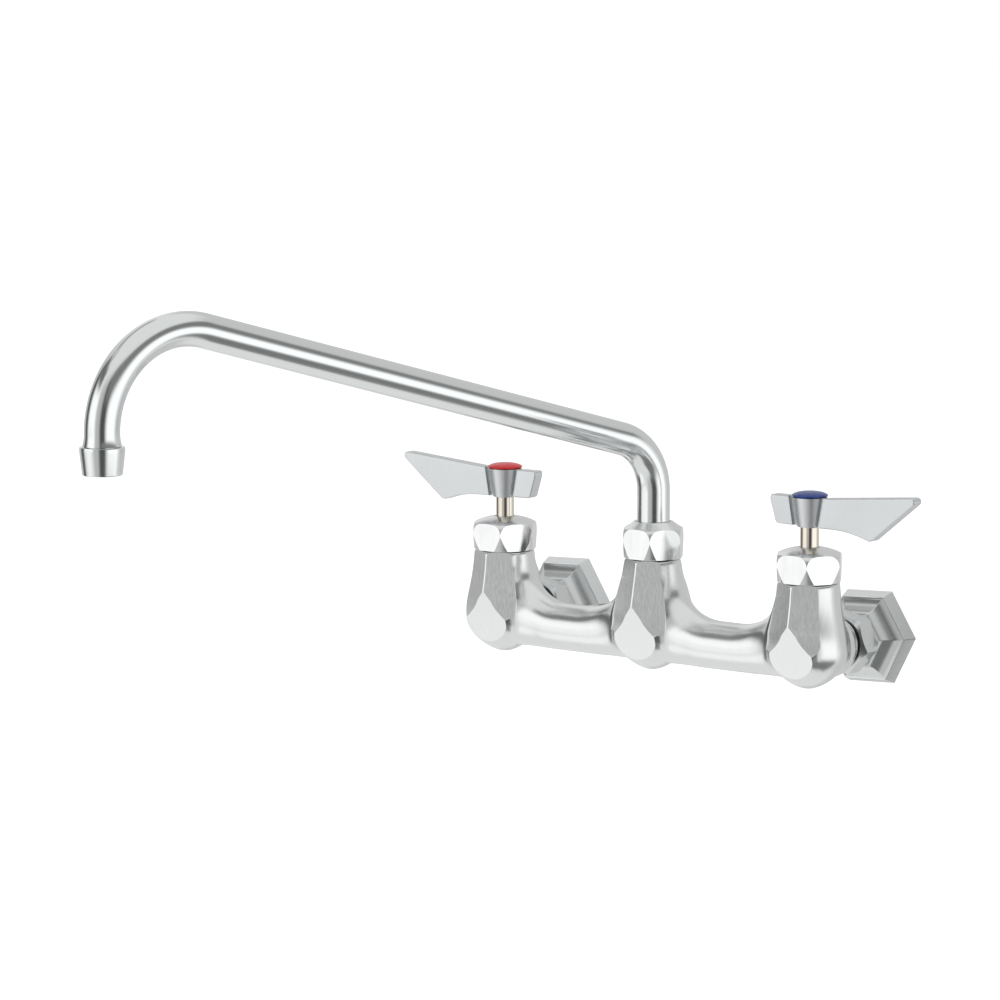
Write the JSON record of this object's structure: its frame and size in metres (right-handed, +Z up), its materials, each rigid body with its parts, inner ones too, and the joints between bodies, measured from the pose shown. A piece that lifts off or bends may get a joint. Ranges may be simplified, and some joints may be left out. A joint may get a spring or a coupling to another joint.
{
  "type": "wall-mount mixing faucet",
  "caption": "Wall faucet with a faceted three-turret bridge body, hot and cold blade handles that turn a quarter, a swing spout and coved hexagonal wall flanges.",
  "frame": {"origin": "on the wall plane, midway between the two inlet axes", "axes": "+Z up, +Y into the wall, +X to the right as seen from the room, so the cold valve is at +X and the room lies towards -Y"},
  "size_m": [0.3412, 0.4172, 0.215],
  "materials": {
    "satin_body": "satin brushed metal, fine grain on the flat faces",
    "satin_tube": "lengthwise brushed tube with strong light and dark bands",
    "satin_handle": "light satin metal with fine upright grain",
    "satin_flange": "satin brushed metal",
    "bright_bonnet": "bright flats under a satin dome",
    "stem_nickel": "polished warm nickel",
    "inner_brass": "machined brass, hidden",
    "red_index": "glossy red dome",
    "blue_index": "glossy blue dome",
    "seal_rubber": "black rubber",
    "white_nylon": "off-white moulded plastic",
    "ceramic_disc": "ground white ceramic"
  },
  "bodies": {
    "faucet_base": {"body": "satin_body", "spout_bonnet": "bright_bonnet", "hot_bonnet": "bright_bonnet", "hot_cartridge": "inner_brass", "hot_cartridge_ring": "seal_rubber", "hot_seat_seal": "seal_rubber", "hot_fixed_disc": "ceramic_disc", "hot_wall_flange": "satin_flange", "hot_coupling_nut": "satin_flange", "hot_coupling_washer": "seal_rubber", "hot_inlet_shank": "inner_brass", "cold_bonnet": "bright_bonnet", "cold_cartridge": "inner_brass", "cold_cartridge_ring": "seal_rubber", "cold_seat_seal": "seal_rubber", "cold_fixed_disc": "ceramic_disc", "cold_wall_flange": "satin_flange", "cold_coupling_nut": "satin_flange", "cold_coupling_washer": "seal_rubber", "cold_inlet_shank": "inner_brass"},
    "hot_handle_set": {"hot_handle": "satin_handle", "hot_index_button": "red_index", "hot_handle_screw": "bright_bonnet", "hot_stem": "stem_nickel", "hot_stem_ring": "seal_rubber", "hot_moving_disc": "ceramic_disc"},
    "cold_handle_set": {"cold_handle": "satin_handle", "cold_index_button": "blue_index", "cold_handle_screw": "bright_bonnet", "cold_stem": "stem_nickel", "cold_stem_ring": "seal_rubber", "cold_moving_disc": "ceramic_disc"},
    "spout_set": {"spout_tube": "satin_tube", "spout_collar": "inner_brass", "spout_lower_ring": "seal_rubber", "spout_upper_ring": "seal_rubber", "spout_friction_washer": "white_nylon", "outlet_ring": "satin_tube", "outlet_insert": "white_nylon", "outlet_gasket": "seal_rubber"}
  },
  "joints": [
    {"name": "spout_swing", "type": "hinge", "parent": "faucet_base", "child": "spout_set", "pos_m": [0, -0.06, 0.02], "axis": [0, 0, 1], "range_deg": [-77, 103]},
    {"name": "hot_handle_turn", "type": "hinge", "parent": "faucet_base", "child": "hot_handle_set", "pos_m": [-0.1016, -0.06, 0.06], "axis": [0, 0, 1], "range_deg": [0, 90]},
    {"name": "cold_handle_turn", "type": "hinge", "parent": "faucet_base", "child": "cold_handle_set", "pos_m": [0.1016, -0.06, 0.06], "axis": [0, 0, 1], "range_deg": [-90, 0]}
  ]
}
